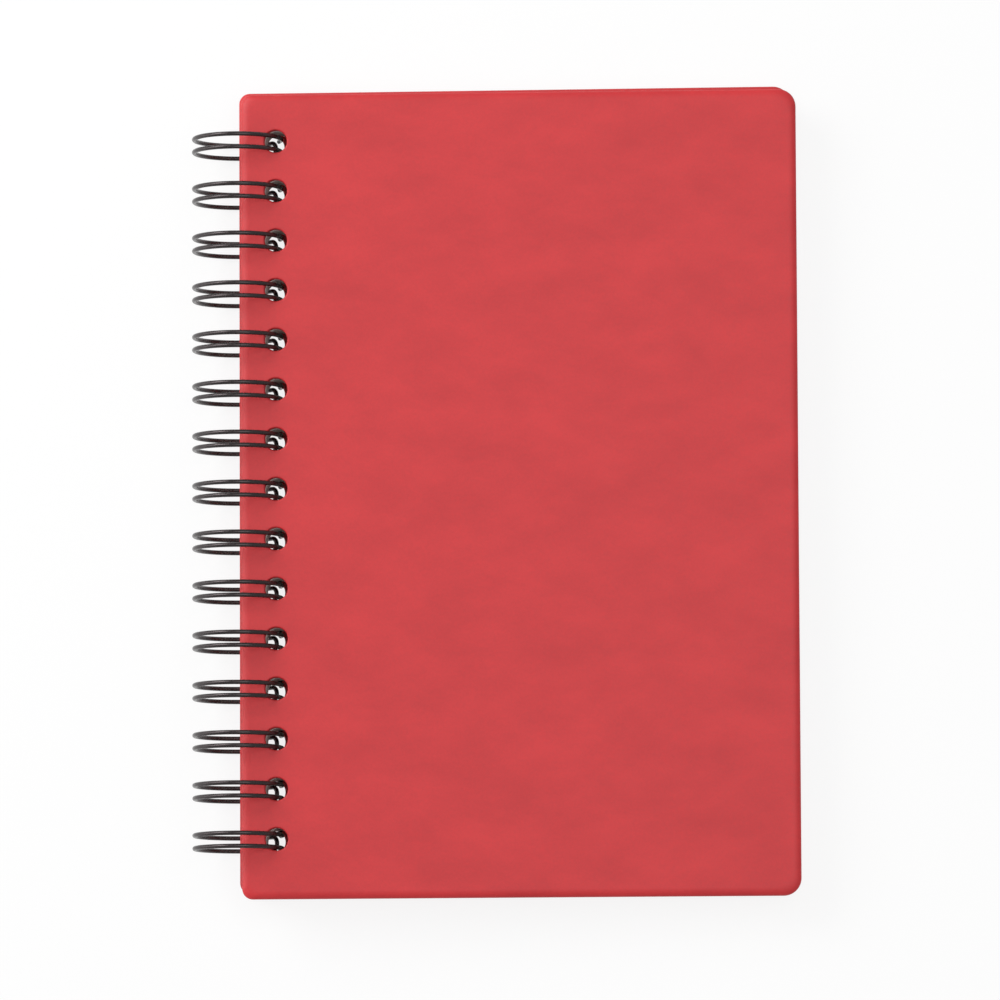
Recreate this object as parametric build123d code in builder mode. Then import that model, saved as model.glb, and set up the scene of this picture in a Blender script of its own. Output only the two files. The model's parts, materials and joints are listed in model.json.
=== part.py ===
from build123d import *
import os
from math import asin, atan, cos, hypot, pi, sin, sqrt

os.makedirs("parts", exist_ok=True)

# A hard-cover notebook bound with twin-loop wire, lying closed on its back cover.
# Millimetres: +X from the spine to the fore-edge, +Y to the top of the page, +Z up.
# The origin is on the table, under the middle of the whole notebook.

# covers: board wrapped in a soft cloth, so every edge is round
cover_width = 141.1  # spine edge to fore-edge
cover_height = 205.0
cover_thickness = 2.3
cover_edge_radius = 1.1
spine_corner_radius = 2.7
fore_corner_radius = 4.5
hole_diameter = 5.7
hole_rim_radius = 0.4
hole_margin = 8.8  # spine edge to the middle of a hole

# pages: one block, a little smaller than the covers on three sides
page_width = 137.0
page_height = 200.5
page_stack = 7.2
page_corner_radius = 3.0
page_hole_diameter = 6.2
page_hole_margin = 7.4

# binding wire: one length of wire bent into paired loops
loop_count = 15
loop_pitch = 12.7
wire_diameter = 1.15
root_bend_radius = 1.5  # where a loop's leg turns into the straight run to the next loop

# distances from the middle of the rings to each row of holes, along X
front_hole_reach = 10.3
back_hole_reach = 8.4
page_hole_reach = 10.4

# how the pieces lie along the spine
covers_apart = 2.1  # the back cover lies this far up from the front cover
loop_row_rise = 0.2  # the middle of the row of loops above the middle of the notebook
cover_slide = 0.3  # the covers' holes lie this far up from the middles of the loops

# clearances
running_clearance = 0.3  # between the wire and what lies beside it
page_rest_clearance = 0.02  # under the pages' fore-edge, where they lie on the back cover
hole_side_clearance = 0.625  # between a loop's two legs and the sides of a cover's hole
closing_slack = 0.56  # spare height inside the rings above the front cover
tip_clearance = 0.8  # between a loop's closed tip and the roots of its own legs

# sizes that follow from those above
hole_radius = hole_diameter / 2
leg_spacing = hole_diameter - wire_diameter - 2 * hole_side_clearance
seam_gap = wire_diameter + 2 * running_clearance  # the roots lie here, under the last page
stack_height = 2 * cover_thickness + seam_gap + page_stack + closing_slack
leg_offset = leg_spacing / 2 + cover_slide  # the leg that stands furthest from its hole's middle
rim_at_leg = sqrt(hole_radius**2 - leg_offset**2)  # middle of a hole to its rim over that leg
front_rim_reach = front_hole_reach - rim_at_leg
back_rim_reach = back_hole_reach - rim_at_leg

# the rings are just wide enough for the stack to stand between its holes' rims at the legs
drop_to_back_rim = (stack_height + (front_rim_reach**2 - back_rim_reach**2) / stack_height) / 2
ring_inner_radius = hypot(drop_to_back_rim, back_rim_reach) + running_clearance
loop_radius = ring_inner_radius + wire_diameter / 2
ring_radius = ring_inner_radius + wire_diameter
ring_height = ring_radius

# the back cover leans from the rings down to the table, and the pages lean on it
back_rim_height = ring_height - drop_to_back_rim
back_lean = asin(back_rim_height / (cover_width - cover_edge_radius - hole_margin + rim_at_leg))
back_edge_height = (cover_width - cover_edge_radius) * sin(back_lean)
pages_beyond_seam = page_width - page_hole_margin + page_hole_reach - back_hole_reach
page_lean = back_lean + asin((seam_gap - page_rest_clearance) / pages_beyond_seam)


def leaning_plane(x, z, lean):
    return Plane(origin=(x, 0, z), x_dir=(cos(lean), 0, -sin(lean)), z_dir=(sin(lean), 0, cos(lean)))


def place_on(plane, along, up):
    return plane.from_local_coords((along, 0, up))


def along_to_reach(plane, lean, reach, up):
    """How far along the plane the point that stands up from it lies at the reach from the rings."""
    return (reach - plane.origin.X - up * sin(lean)) / cos(lean)


# planes with X measured from the middle of the rings: each is the lower face of a cover or of
# the pages, from its spine edge
rings_plane = leaning_plane(0, back_edge_height, back_lean)
back_edge_along = along_to_reach(rings_plane, back_lean, back_hole_reach, cover_thickness / 2) - hole_margin
back_at_rings = leaning_plane(back_edge_along * cos(back_lean), back_edge_height, back_lean)
seam_point = place_on(back_at_rings, hole_margin, cover_thickness + seam_gap)
seam_plane = leaning_plane(seam_point.X, seam_point.Z, page_lean)
page_hole_along = along_to_reach(seam_plane, page_lean, page_hole_reach, page_stack / 2)
page_edge = place_on(seam_plane, page_hole_along - page_hole_margin, 0)
front_hole_along = along_to_reach(seam_plane, page_lean, front_hole_reach, page_stack + cover_thickness / 2)
front_edge = place_on(seam_plane, front_hole_along - hole_margin, page_stack)

# the whole notebook is centred over the origin
fore_edge_reach = (
    front_edge.X
    + (cover_width - cover_edge_radius) * cos(page_lean)
    + (cover_thickness - cover_edge_radius) * sin(page_lean)
    + cover_edge_radius
)
ring_x = (ring_radius - fore_edge_reach) / 2
back_plane = leaning_plane(ring_x + back_at_rings.origin.X, back_edge_height, back_lean)
page_plane = leaning_plane(ring_x + page_edge.X, page_edge.Z, page_lean)
front_plane = leaning_plane(ring_x + front_edge.X, front_edge.Z, page_lean)
loop_ys = [loop_row_rise + (i - (loop_count - 1) / 2) * loop_pitch for i in range(loop_count)]


def make_board(plane, width, height, thickness, spine_radius, fore_radius):
    """A flat board, its lower face on the plane and its spine edge at the plane's origin."""
    with BuildPart() as board:
        with BuildSketch(plane):
            Rectangle(width, height, align=(Align.MIN, Align.CENTER))
            if spine_radius:
                fillet(vertices().group_by(Axis.X)[0], spine_radius)
            fillet(vertices().group_by(Axis.X)[-1], fore_radius)
        extrude(amount=thickness)
    return board.part


def is_on_face(edge, plane, up):
    return abs(plane.to_local_coords(edge.center()).Z - up) < 0.01


def make_cover(plane, middle_y, name):
    with BuildPart() as cover:
        board = make_board(plane, cover_width, cover_height, cover_thickness, spine_corner_radius, fore_corner_radius)
        add(board.moved(Location((0, middle_y, 0))))
        rims = [e for e in edges() if is_on_face(e, plane, 0) or is_on_face(e, plane, cover_thickness)]
        fillet(rims, cover_edge_radius)
        with BuildSketch(plane):
            with Locations([(hole_margin, y + cover_slide) for y in loop_ys]):
                Circle(hole_radius)
        extrude(amount=cover_thickness, mode=Mode.SUBTRACT)
        hole_rims = [e for e in edges().filter_by(GeomType.CIRCLE) if abs(e.radius - hole_radius) < 0.01]
        fillet(hole_rims, hole_rim_radius)
    cover.part.label = name
    export_step(cover.part, f"parts/{name}.step")


make_cover(front_plane, -covers_apart / 2, "front_cover")
make_cover(back_plane, covers_apart / 2, "back_cover")


# the pages lie between the covers, with straight round holes for the wire
with BuildPart() as page_block:
    add(make_board(page_plane, page_width, page_height, page_stack, 0, page_corner_radius))
    with BuildSketch(page_plane):
        with Locations([(page_hole_margin, y) for y in loop_ys]):
            Circle(page_hole_diameter / 2)
    extrude(amount=page_stack, mode=Mode.SUBTRACT)
page_block.part.label = "page_block"
export_step(page_block.part, "parts/page_block.step")


# the wire: each loop runs up from the seam through the pages and the front cover, round the
# spine and into the back cover's holes, turns over in a closed tip and comes back beside itself
seam_middle = place_on(back_at_rings, hole_margin, cover_thickness + seam_gap / 2).Z - ring_height
bend_lag = atan(root_bend_radius / loop_radius)
root_angle = asin(seam_middle / hypot(loop_radius, root_bend_radius)) + bend_lag
tip_lead = atan(leg_spacing / 2 / loop_radius)
tip_angle = root_angle - bend_lag + 2 * pi - tip_lead - (wire_diameter + tip_clearance) / loop_radius
half_root = sqrt(0.5)


def on_loop(angle, y, forward=0):
    """A point on the ring, moved forward along the ring's tangent there."""
    x = ring_x + loop_radius * cos(angle) - forward * sin(angle)
    z = ring_height + loop_radius * sin(angle) + forward * cos(angle)
    return (x, y, z)


with BuildPart() as binding_wire:
    with BuildLine() as wire_path:
        Line(on_loop(root_angle, loop_ys[0] - leg_spacing / 2, -root_bend_radius),
             on_loop(root_angle, loop_ys[0] - leg_spacing / 2))
        for y in loop_ys:
            rising = y - leg_spacing / 2
            falling = y + leg_spacing / 2
            middle = (root_angle + tip_angle) / 2
            ThreePointArc(on_loop(root_angle, rising), on_loop(middle, rising), on_loop(tip_angle, rising))
            ThreePointArc(on_loop(tip_angle, rising), on_loop(tip_angle, y, leg_spacing / 2),
                          on_loop(tip_angle, falling))
            ThreePointArc(on_loop(tip_angle, falling), on_loop(middle, falling), on_loop(root_angle, falling))
            if y == loop_ys[-1]:
                continue
            far_side = y + loop_pitch - leg_spacing / 2
            sag = root_bend_radius * half_root
            ThreePointArc(on_loop(root_angle, falling),
                          on_loop(root_angle, falling + root_bend_radius - sag, -sag),
                          on_loop(root_angle, falling + root_bend_radius, -root_bend_radius))
            Line(on_loop(root_angle, falling + root_bend_radius, -root_bend_radius),
                 on_loop(root_angle, far_side - root_bend_radius, -root_bend_radius))
            ThreePointArc(on_loop(root_angle, far_side - root_bend_radius, -root_bend_radius),
                          on_loop(root_angle, far_side - root_bend_radius + sag, -sag),
                          on_loop(root_angle, far_side))
        Line(on_loop(root_angle, loop_ys[-1] + leg_spacing / 2),
             on_loop(root_angle, loop_ys[-1] + leg_spacing / 2, -root_bend_radius))
    with BuildSketch(Plane(origin=wire_path.line @ 0, z_dir=wire_path.line % 0)):
        Circle(wire_diameter / 2)
    sweep(path=wire_path.line)
binding_wire.part.label = "binding_wire"
export_step(binding_wire.part, "parts/binding_wire.step")
wire_length = sum(edge.length for edge in wire_path.line.edges())
print("wire length", round(wire_length, 1), "volume share", round(
    binding_wire.part.volume / (pi * wire_diameter**2 / 4 * wire_length), 4))
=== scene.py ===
import json
import math
import random

import bmesh
import bpy
from mathutils import Matrix, Vector


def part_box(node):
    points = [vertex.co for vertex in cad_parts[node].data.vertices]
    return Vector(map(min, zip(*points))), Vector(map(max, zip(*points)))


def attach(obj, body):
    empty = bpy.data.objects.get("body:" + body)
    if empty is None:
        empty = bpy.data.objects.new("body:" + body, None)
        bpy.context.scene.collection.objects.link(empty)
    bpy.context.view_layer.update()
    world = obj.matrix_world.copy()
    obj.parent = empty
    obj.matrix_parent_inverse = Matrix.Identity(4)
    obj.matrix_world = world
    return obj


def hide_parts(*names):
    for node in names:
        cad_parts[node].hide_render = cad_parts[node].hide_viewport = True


# The looks of a hard-cover notebook on a black twin-loop wire spine, lying closed.
# Metres: +X from the spine to the fore-edge, +Y to the top of the page, +Z up.

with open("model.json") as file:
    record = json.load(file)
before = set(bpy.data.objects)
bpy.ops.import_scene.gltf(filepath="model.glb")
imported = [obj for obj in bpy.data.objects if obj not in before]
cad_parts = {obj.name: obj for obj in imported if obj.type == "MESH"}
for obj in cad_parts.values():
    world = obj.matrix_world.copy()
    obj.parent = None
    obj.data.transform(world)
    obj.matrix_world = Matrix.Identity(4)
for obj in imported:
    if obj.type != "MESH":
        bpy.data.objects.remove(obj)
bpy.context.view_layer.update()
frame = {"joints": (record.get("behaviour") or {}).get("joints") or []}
random.seed(15)
print("frame loaded")

wireLow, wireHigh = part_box("binding_wire")
ringCentre = Vector(frame["joints"][0]["pos_m"])
ringRadius = (wireHigh.z - wireLow.z) / 2
loopRow = {"count": 15, "pitch": 0.0127, "middle": (wireLow.y + wireHigh.y) / 2}
firstLoop = loopRow["middle"] - (loopRow["count"] - 1) / 2 * loopRow["pitch"]


# everything is deselected first, because the frame's own pieces come in selected
def workOn(piece):
    bpy.ops.object.select_all(action="DESELECT")
    piece.select_set(True)
    bpy.context.view_layer.objects.active = piece


def newPiece(name):
    piece = bpy.context.active_object
    piece.name = name
    piece.data.name = name
    return piece


# selects the vertices, edges or faces of the mesh in edit mode that pass the test
def pick(kind, test):
    bpy.ops.mesh.select_mode(type={"verts": "VERT", "edges": "EDGE", "faces": "FACE"}[kind])
    bpy.ops.mesh.select_all(action="DESELECT")
    shape = bmesh.from_edit_mesh(bpy.context.active_object.data)
    for item in getattr(shape, kind):
        if test(item):
            item.select_set(True)
    shape.select_flush_mode()
    bmesh.update_edit_mesh(bpy.context.active_object.data)


def addModifier(piece, kind, **settings):
    workOn(piece)
    modifier = piece.modifiers.new(kind.title(), kind)
    for name, value in settings.items():
        setattr(modifier, name, value)
    bpy.ops.object.modifier_apply(modifier=modifier.name)


def carry(move):
    bpy.ops.mesh.extrude_region_move(TRANSFORM_OT_translate={"value": move})


# a board lies tilted down to its fore-edge, so its box gives its tilt and width
def measureBoard(node, thickness, edgeRadius):
    low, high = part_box(node)
    size = high - low
    inner = thickness - 2 * edgeRadius
    tilt = 0.0
    for _ in range(20):
        rise = size.z - 2 * edgeRadius - inner * math.cos(tilt)
        run = size.x - 2 * edgeRadius - inner * math.sin(tilt)
        tilt = math.atan2(rise, run)
    return tilt, run / math.cos(tilt) + 2 * edgeRadius, size.y, (low + high) / 2


def layDown(piece, tilt, middle):
    workOn(piece)
    piece.rotation_euler = (0, tilt, 0)
    piece.location = middle
    bpy.ops.object.transform_apply(location=True, rotation=True, scale=True)


# a row of round cutters through a board, standing up from its own middle
def punchHoles(piece, alongX, firstY, radius, sides):
    bpy.ops.object.select_all(action="DESELECT")
    bpy.ops.mesh.primitive_cylinder_add(
        vertices=sides, radius=radius, depth=0.02, location=(alongX, firstY, 0))
    cutter = newPiece("holeCutter")
    bpy.ops.object.transform_apply(location=True)
    addModifier(cutter, "ARRAY", count=loopRow["count"], use_relative_offset=False,
                use_constant_offset=True, constant_offset_displace=(0, loopRow["pitch"], 0))
    addModifier(piece, "BOOLEAN", operation="DIFFERENCE", solver="EXACT", object=cutter)
    bpy.data.objects.remove(cutter, do_unlink=True)


cover = {
    "thickness": 0.0023,
    "edgeRadius": 0.0011,  # how round the edge is, up and down
    "edgeSoftness": 0.0022,  # how far the rounding reaches in over the face
    "spineCorner": 0.0027,
    "foreCorner": 0.0045,
    "holeRadius": 0.00285,
    "holeMargin": 0.0088,
    "holeRim": 0.0005,
    "edgeSteps": 9,
    "spineSteps": 10,
    "foreSteps": 14,
    "rimSteps": 4,
    "holeSides": 48,
    "cellReach": 0.0045,  # from a hole's middle to the sides of the cell round it
    "slide": 0.0003,  # the holes lie this far up from the middles of the loops
}


def makeCover(node, name):
    tilt, width, height, middle = measureBoard(node, cover["thickness"], cover["edgeRadius"])
    half = Vector((width / 2, height / 2, cover["thickness"] / 2))
    holeX = cover["holeMargin"] - half.x
    firstHole = firstLoop + cover["slide"] - middle.y
    holeYs = [firstHole + i * loopRow["pitch"] for i in range(loopRow["count"])]
    bpy.ops.object.select_all(action="DESELECT")
    bpy.ops.mesh.primitive_plane_add(size=1, location=(0, 0, 0))
    piece = newPiece(name)
    bpy.ops.object.mode_set(mode="EDIT")
    bpy.ops.transform.resize(value=(width, height, 1))
    pick("verts", lambda v: v.co.x < 0)
    bpy.ops.mesh.bevel(offset=cover["spineCorner"], segments=cover["spineSteps"], affect="VERTICES")
    pick("verts", lambda v: v.co.x > half.x - 1e-6)
    bpy.ops.mesh.bevel(offset=cover["foreCorner"], segments=cover["foreSteps"], affect="VERTICES")

    # the outline is carried up from the lower face, out and in again round the edge
    bpy.ops.mesh.select_all(action="SELECT")
    drawn, risen = 0.0, 0.0
    for i in range(2 * cover["edgeSteps"] + 1):
        angle = math.pi / 2 * (i / cover["edgeSteps"] - 1)
        reach = cover["edgeSoftness"] * (1 - math.cos(angle))
        level = half.z * math.sin(angle)
        if i:
            carry((0, 0, level - risen))
            growth = ((half.x - reach) / (half.x - drawn), (half.y - reach) / (half.y - drawn), 1)
            bpy.ops.transform.resize(value=growth, center_override=(0, 0, 0))
        else:
            bpy.ops.transform.translate(value=(0, 0, level))
            growth = (1 - reach / half.x, 1 - reach / half.y, 1)
            bpy.ops.transform.resize(value=growth, center_override=(0, 0, 0))
        drawn, risen = reach, level
    bpy.ops.mesh.select_all(action="SELECT")
    bpy.ops.mesh.normals_make_consistent(inside=False)

    # the face is cut into a cell round each hole, and the rest into squares
    cutsX = [holeX - cover["cellReach"], holeX + cover["cellReach"], holeX + 0.03, 0.01, half.x - 0.03]
    cutsY = [y + loopRow["pitch"] / 2 for y in holeYs] + [holeYs[0] - loopRow["pitch"] / 2]
    for x in cutsX:
        bpy.ops.mesh.select_all(action="SELECT")
        bpy.ops.mesh.bisect(plane_co=(x, 0, 0), plane_no=(1, 0, 0))
    for y in cutsY:
        bpy.ops.mesh.select_all(action="SELECT")
        bpy.ops.mesh.bisect(plane_co=(0, y, 0), plane_no=(0, 1, 0))
    bpy.ops.object.mode_set(mode="OBJECT")
    punchHoles(piece, holeX, holeYs[0], cover["holeRadius"], cover["holeSides"])

    bpy.ops.object.mode_set(mode="EDIT")

    def isHoleRim(edge):
        for v in edge.verts:
            nearest = min(math.hypot(v.co.x - holeX, v.co.y - y) for y in holeYs)
            if abs(nearest - cover["holeRadius"]) > 2e-5 or abs(abs(v.co.z) - half.z) > 1e-6:
                return False
        return True

    pick("edges", isHoleRim)
    bpy.ops.mesh.bevel(offset=cover["holeRim"], segments=cover["rimSteps"], affect="EDGES")
    bpy.ops.mesh.select_all(action="SELECT")
    bpy.ops.mesh.remove_doubles(threshold=1e-7)
    bpy.ops.mesh.normals_make_consistent(inside=False)
    bpy.ops.object.mode_set(mode="OBJECT")
    layDown(piece, tilt, middle)
    bpy.ops.object.shade_smooth_by_angle(angle=math.radians(40))
    addModifier(piece, "WEIGHTED_NORMAL", keep_sharp=True, weight=50)
    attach(piece, node)
    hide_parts(node)
    return piece


frontBoard = makeCover("front_cover", "frontBoard")
backBoard = makeCover("back_cover", "backBoard")
print("covers made", len(frontBoard.data.polygons))


wire = {
    "diameter": 0.00115,
    "sides": 18,
    "legSpacing": 0.0033,
    "rootBend": 0.0015,
    "rootAngle": math.radians(-18.347),
    "tipAngle": math.radians(315.432),
    "legSteps": 60,
    "tipSteps": 14,
    "bendSteps": 7,
}
loopRadius = ringRadius - wire["diameter"] / 2


def across(angle):
    return Vector((math.cos(angle), 0, math.sin(angle)))


def onward(angle):
    return Vector((-math.sin(angle), 0, math.cos(angle)))


# a point on the ring, moved on along its own direction there
def onRing(angle, y, forward=0.0):
    return Vector((ringCentre.x, y, ringCentre.z)) + loopRadius * across(angle) + forward * onward(angle)


# spin turns the other way round its axis from the right-handed one
def turn(centre, axis, angle, steps):
    bpy.ops.mesh.spin(steps=steps, angle=-angle, center=centre, axis=axis)


def makeWire():
    root, tip = wire["rootAngle"], wire["tipAngle"]
    half, bend = wire["legSpacing"] / 2, wire["rootBend"]
    bpy.ops.object.select_all(action="DESELECT")
    bpy.ops.mesh.primitive_circle_add(vertices=wire["sides"], radius=wire["diameter"] / 2,
                                      location=onRing(root, firstLoop - half), rotation=(0, -root, 0))
    piece = newPiece("twinLoopWire")
    bpy.ops.object.transform_apply(location=True, rotation=True)
    bpy.ops.object.mode_set(mode="EDIT")
    bpy.ops.mesh.select_all(action="SELECT")
    middle = (ringCentre.x, firstLoop, ringCentre.z)
    turn(middle, (0, -1, 0), tip - root, wire["legSteps"])
    turn(onRing(tip, firstLoop), -across(tip), math.pi, wire["tipSteps"])
    turn(middle, (0, 1, 0), tip - root, wire["legSteps"])
    bpy.ops.object.mode_set(mode="OBJECT")

    # the last loop is this one again, at the far end of the row
    workOn(piece)
    bpy.ops.object.duplicate()
    lastLoop = newPiece("lastLoop")
    bpy.ops.object.mode_set(mode="EDIT")
    carry(-bend * onward(root))
    bpy.ops.mesh.edge_face_add()
    bpy.ops.mesh.select_all(action="SELECT")
    bpy.ops.transform.translate(value=(0, (loopRow["count"] - 1) * loopRow["pitch"], 0))
    bpy.ops.object.mode_set(mode="OBJECT")

    # from the foot of one loop, along the seam, to the foot of the next
    workOn(piece)
    bpy.ops.object.mode_set(mode="EDIT")
    far = firstLoop + loopRow["pitch"] - half
    turn(onRing(root, firstLoop + half + bend), across(root), math.pi / 2, wire["bendSteps"])
    carry((0, far - firstLoop - half - 2 * bend, 0))
    turn(onRing(root, far - bend), across(root), math.pi / 2, wire["bendSteps"])
    bpy.ops.object.mode_set(mode="OBJECT")
    addModifier(piece, "ARRAY", count=loopRow["count"] - 1, use_relative_offset=False,
                use_constant_offset=True, constant_offset_displace=(0, loopRow["pitch"], 0))
    workOn(piece)
    lastLoop.select_set(True)
    bpy.ops.object.join()
    bpy.ops.object.mode_set(mode="EDIT")
    bpy.ops.mesh.select_all(action="SELECT")
    bpy.ops.mesh.remove_doubles(threshold=2e-6)
    bpy.ops.mesh.select_all(action="DESELECT")
    bpy.ops.mesh.select_mode(type="EDGE")
    bpy.ops.mesh.select_non_manifold()
    carry(-bend * onward(root))
    bpy.ops.mesh.edge_face_add()
    bpy.ops.mesh.select_all(action="SELECT")
    bpy.ops.mesh.normals_make_consistent(inside=False)
    bpy.ops.object.mode_set(mode="OBJECT")
    bpy.ops.object.shade_smooth_by_angle(angle=math.radians(50))
    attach(piece, "binding")
    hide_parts("binding_wire")
    return piece


twinLoopWire = makeWire()
print("wire made", len(twinLoopWire.data.polygons))


pages = {
    "stack": 0.0072,
    "sheets": 64,
    "foreCorner": 0.003,
    "cornerSteps": 7,
    "holeRadius": 0.0031,
    "holeMargin": 0.0074,
    "holeSides": 32,
    "groove": 0.00012,  # how far the gap between two sheets goes in
    "unevenness": 0.00004,  # how far a sheet's edge strays from its neighbours'
}


def makePages():
    tilt, width, height, middle = measureBoard("page_block", pages["stack"], 0)
    sheet = pages["stack"] / pages["sheets"]
    bpy.ops.object.select_all(action="DESELECT")
    bpy.ops.mesh.primitive_plane_add(size=1, location=(0, 0, 0))
    piece = newPiece("pageStack")
    bpy.ops.object.mode_set(mode="EDIT")
    spare = 2 * pages["unevenness"]
    bpy.ops.transform.resize(value=(width - spare, height - spare, 1))
    bpy.ops.transform.translate(value=(0, 0, -pages["stack"] / 2))
    pick("verts", lambda v: v.co.x > 0)
    bpy.ops.mesh.bevel(offset=pages["foreCorner"], segments=pages["cornerSteps"], affect="VERTICES")
    bpy.ops.mesh.select_all(action="SELECT")
    inX, inY = 1 - 2 * pages["groove"] / width, 1 - 2 * pages["groove"] / height
    shift = Vector((0, 0, 0))
    for i in range(pages["sheets"]):
        stray = Vector((random.uniform(-1, 1), random.uniform(-1, 1), 0)) * pages["unevenness"]
        bpy.ops.transform.translate(value=stray - shift)
        shift = stray
        carry((0, 0, sheet * 0.7))
        if i == pages["sheets"] - 1:
            break
        carry((0, 0, sheet * 0.15))
        bpy.ops.transform.resize(value=(inX, inY, 1), center_override=(0, 0, 0))
        carry((0, 0, sheet * 0.15))
        bpy.ops.transform.resize(value=(1 / inX, 1 / inY, 1), center_override=(0, 0, 0))
    carry((0, 0, sheet * 0.3))
    bpy.ops.mesh.select_all(action="SELECT")
    bpy.ops.mesh.normals_make_consistent(inside=False)
    bpy.ops.object.mode_set(mode="OBJECT")
    punchHoles(piece, pages["holeMargin"] - width / 2, firstLoop - middle.y,
               pages["holeRadius"], pages["holeSides"])
    layDown(piece, tilt, middle)
    bpy.ops.object.shade_smooth_by_angle(angle=math.radians(20))
    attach(piece, "binding")
    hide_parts("page_block")
    return piece, tilt


pageStack, pageTilt = makePages()
print("pages made", len(pageStack.data.polygons))


def newMaterial(name):
    material = bpy.data.materials.new(name)
    material.use_nodes = True
    tree = material.node_tree
    tree.nodes.clear()
    return material, tree


def addNode(tree, kind, inputs=None, **settings):
    node = tree.nodes.new(kind)
    for name, value in settings.items():
        setattr(node, name, value)
    for name, value in (inputs or {}).items():
        if isinstance(value, bpy.types.NodeSocket):
            tree.links.new(value, node.inputs[name])
        else:
            node.inputs[name].default_value = value
    return node


def finishMaterial(tree, shader):
    out = tree.nodes.new("ShaderNodeOutputMaterial")
    tree.links.new(shader.outputs[0], out.inputs["Surface"])


cloth = {
    "light": (0.600, 0.026, 0.031, 1),
    "dark": (0.500, 0.019, 0.024, 1),
    "roughness": 0.52,
    "mottleScale": 75.0,
    "grainScale": 1500.0,
    "grainShare": 0.35,  # how much of the colour's change is grain, beside the mottling
    "grainDepth": 0.00003,
}


def makeCloth():
    material, tree = newMaterial("softTouchCloth")
    place = addNode(tree, "ShaderNodeTexCoord").outputs["Object"]
    slant = addNode(tree, "ShaderNodeMapping", {
        "Vector": place, "Rotation": (0, 0, math.radians(38)), "Scale": (0.7, 1.25, 1)})
    mottle = addNode(tree, "ShaderNodeTexNoise", {
        "Vector": slant.outputs[0], "Scale": cloth["mottleScale"], "Detail": 5.0, "Roughness": 0.62})
    grain = addNode(tree, "ShaderNodeTexNoise", {
        "Vector": place, "Scale": cloth["grainScale"], "Detail": 3.0, "Roughness": 0.6})
    both = addNode(tree, "ShaderNodeMix", {
        0: cloth["grainShare"], 2: mottle.outputs[0], 3: grain.outputs[0]}, data_type="FLOAT")
    spread = addNode(tree, "ShaderNodeMapRange", {0: both.outputs[0], 1: 0.36, 2: 0.64})
    colour = addNode(tree, "ShaderNodeMix", {
        0: spread.outputs[0], 6: cloth["dark"], 7: cloth["light"]}, data_type="RGBA")
    rough = addNode(tree, "ShaderNodeMapRange", {
        0: grain.outputs[0], 1: 0.3, 2: 0.7,
        3: cloth["roughness"] - 0.05, 4: cloth["roughness"] + 0.06})
    bump = addNode(tree, "ShaderNodeBump", {
        "Height": grain.outputs[0], "Strength": 0.5, "Distance": cloth["grainDepth"]})
    shader = addNode(tree, "ShaderNodeBsdfPrincipled", {
        "Base Color": colour.outputs[2], "Roughness": rough.outputs[0], "Normal": bump.outputs[0],
        "Specular IOR Level": 0.5, "Sheen Weight": 0.06, "Sheen Roughness": 0.4,
        "Sheen Tint": (1.0, 0.75, 0.72, 1)})
    finishMaterial(tree, shader)
    return material


coating = {
    "black": (0.010, 0.009, 0.009, 1),
    "worn": (0.020, 0.017, 0.017, 1),
    "roughness": 0.27,
    "speckScale": 700.0,
    "speckDepth": 0.00002,
    "sheenTint": (1.0, 0.86, 0.88, 1),
}


def makeCoating():
    material, tree = newMaterial("blackCoating")
    place = addNode(tree, "ShaderNodeTexCoord").outputs["Object"]
    specks = addNode(tree, "ShaderNodeTexNoise", {
        "Vector": place, "Scale": coating["speckScale"], "Detail": 4.0, "Roughness": 0.6})
    colour = addNode(tree, "ShaderNodeMix", {
        0: specks.outputs[0], 6: coating["black"], 7: coating["worn"]}, data_type="RGBA")
    rough = addNode(tree, "ShaderNodeMapRange", {
        0: specks.outputs[0], 1: 0.3, 2: 0.7,
        3: coating["roughness"] - 0.04, 4: coating["roughness"] + 0.05})
    bump = addNode(tree, "ShaderNodeBump", {
        "Height": specks.outputs[0], "Strength": 0.25, "Distance": coating["speckDepth"]})
    shader = addNode(tree, "ShaderNodeBsdfPrincipled", {
        "Base Color": colour.outputs[2], "Roughness": rough.outputs[0], "Normal": bump.outputs[0],
        "Specular IOR Level": 0.6, "Specular Tint": coating["sheenTint"]})
    finishMaterial(tree, shader)
    return material


paper = {
    "light": (0.86, 0.845, 0.80, 1),
    "dark": (0.79, 0.77, 0.72, 1),
    "roughness": 0.85,
    "sheetScale": (60, 60, 6000),  # fine across the sheets and long along them
    "fibreScale": 900.0,
    "fibreDepth": 0.00003,
}


def makePaper():
    material, tree = newMaterial("uncoatedPaper")
    place = addNode(tree, "ShaderNodeTexCoord").outputs["Object"]
    flat = addNode(tree, "ShaderNodeMapping", {
        "Vector": place, "Rotation": (0, -pageTilt, 0), "Scale": paper["sheetScale"]})
    edges = addNode(tree, "ShaderNodeTexNoise", {
        "Vector": flat.outputs[0], "Scale": 1.0, "Detail": 3.0})
    fibre = addNode(tree, "ShaderNodeTexNoise", {
        "Vector": place, "Scale": paper["fibreScale"], "Detail": 5.0, "Roughness": 0.6})
    both = addNode(tree, "ShaderNodeMix", {
        0: 0.4, 2: edges.outputs[0], 3: fibre.outputs[0]}, data_type="FLOAT")
    spread = addNode(tree, "ShaderNodeMapRange", {0: both.outputs[0], 1: 0.35, 2: 0.6})
    colour = addNode(tree, "ShaderNodeMix", {
        0: spread.outputs[0], 6: paper["dark"], 7: paper["light"]}, data_type="RGBA")
    bump = addNode(tree, "ShaderNodeBump", {
        "Height": fibre.outputs[0], "Strength": 0.3, "Distance": paper["fibreDepth"]})
    shader = addNode(tree, "ShaderNodeBsdfPrincipled", {
        "Base Color": colour.outputs[2], "Roughness": paper["roughness"], "Normal": bump.outputs[0],
        "Specular IOR Level": 0.3})
    finishMaterial(tree, shader)
    return material


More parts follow.
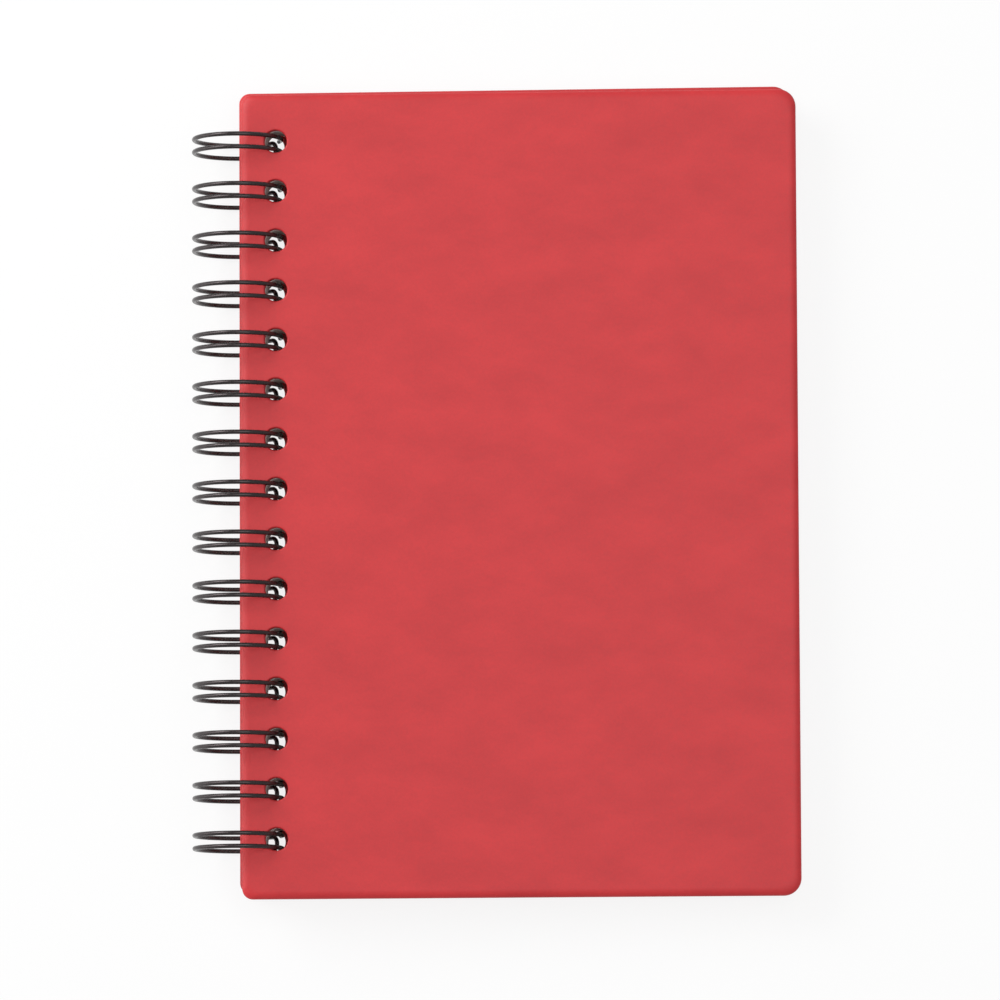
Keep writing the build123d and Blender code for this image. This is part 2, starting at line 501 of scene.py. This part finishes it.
def dress(material, *pieces):
    for piece in pieces:
        piece.data.materials.clear()
        piece.data.materials.append(material)


dress(makeCloth(), frontBoard, backBoard)
dress(makeCoating(), twinLoopWire)
dress(makePaper(), pageStack)
print("materials made")


studio = {
    "floorSize": 6.0,
    "floorPale": (0.86, 0.86, 0.86, 1),
    "floorGlow": 0.86,  # how much of what the camera sees of the floor is plain white
    "ambient": 0.42,
    "key": {"place": (-0.75, 0.55, 0.75), "size": (0.7, 0.7), "power": 9.0},
    "side": {"place": (-0.95, 0.05, 0.22), "size": (0.5, 0.9), "power": 3.0},
    "fill": {"place": (0.35, 0.10, 1.30), "size": (0.8, 0.8), "power": 5.0},
}


def makeFloor():
    bpy.ops.object.select_all(action="DESELECT")
    bpy.ops.mesh.primitive_plane_add(size=studio["floorSize"], location=(0, 0, 0))
    floor = newPiece("floor")
    material, tree = newMaterial("paleFloor")
    path = addNode(tree, "ShaderNodeLightPath")
    direct = addNode(tree, "ShaderNodeMath", {
        0: path.outputs["Is Camera Ray"], 1: path.outputs["Is Glossy Ray"]}, operation="MAXIMUM")
    seen = addNode(tree, "ShaderNodeMath", {
        0: direct.outputs[0], 1: path.outputs["Is Transmission Ray"]}, operation="MAXIMUM")
    share = addNode(tree, "ShaderNodeMath", {
        0: seen.outputs[0], 1: studio["floorGlow"]}, operation="MULTIPLY")
    plain = addNode(tree, "ShaderNodeBsdfDiffuse", {"Color": studio["floorPale"]})
    white = addNode(tree, "ShaderNodeEmission", {"Color": (1, 1, 1, 1), "Strength": 1.0})
    both = addNode(tree, "ShaderNodeMixShader", {
        0: share.outputs[0], 1: plain.outputs[0], 2: white.outputs[0]})
    finishMaterial(tree, both)
    floor.data.materials.append(material)
    return floor


def makeWorld():
    world = bpy.data.worlds.new("paleStudio")
    bpy.context.scene.world = world
    world.use_nodes = True
    tree = world.node_tree
    tree.nodes.clear()
    path = addNode(tree, "ShaderNodeLightPath")
    strength = addNode(tree, "ShaderNodeMapRange", {
        0: path.outputs["Is Camera Ray"], 1: 0.0, 2: 1.0, 3: studio["ambient"], 4: 1.0})
    sky = addNode(tree, "ShaderNodeBackground", {"Color": (1, 1, 1, 1), "Strength": strength.outputs[0]})
    out = tree.nodes.new("ShaderNodeOutputWorld")
    tree.links.new(sky.outputs[0], out.inputs["Surface"])


def makeLamp(name):
    settings = studio[name]
    lamp = bpy.data.lights.new(name + "Light", "AREA")
    lamp.shape = "RECTANGLE"
    lamp.size, lamp.size_y = settings["size"]
    lamp.energy = settings["power"]
    lampObject = bpy.data.objects.new(name + "Light", lamp)
    lampObject.location = settings["place"]
    toObject = Vector((0, 0, 0)) - Vector(settings["place"])
    lampObject.rotation_euler = toObject.to_track_quat("-Z", "Y").to_euler()
    bpy.context.scene.collection.objects.link(lampObject)


cameraView = {
    "aim": (0.00118, -0.00233, 0.0092),
    "distance": 2.2,
    "lens": 312.25,
    "tilt": math.radians(-5.896),  # the camera stands a little below the middle of the page
    "swing": math.radians(-5.221),  # and a little to the fore-edge's side
    "roll": math.radians(0.245),
}


def makeCamera():
    turned = (Matrix.Rotation(cameraView["tilt"], 3, "X")
              @ Matrix.Rotation(cameraView["swing"], 3, "Y")
              @ Matrix.Rotation(cameraView["roll"], 3, "Z")).transposed()
    data = bpy.data.cameras.new("camera")
    data.lens = cameraView["lens"]
    data.sensor_width = 36
    data.clip_end = 20
    camera = bpy.data.objects.new("camera", data)
    place = Vector(cameraView["aim"]) + turned @ Vector((0, 0, cameraView["distance"]))
    camera.matrix_world = Matrix.Translation(place) @ turned.to_4x4()
    bpy.context.scene.collection.objects.link(camera)
    bpy.context.scene.camera = camera


makeFloor()
makeWorld()
for lampName in ("key", "side", "fill"):
    makeLamp(lampName)
makeCamera()
bpy.context.scene.view_settings.view_transform = "Standard"
print("studio made")
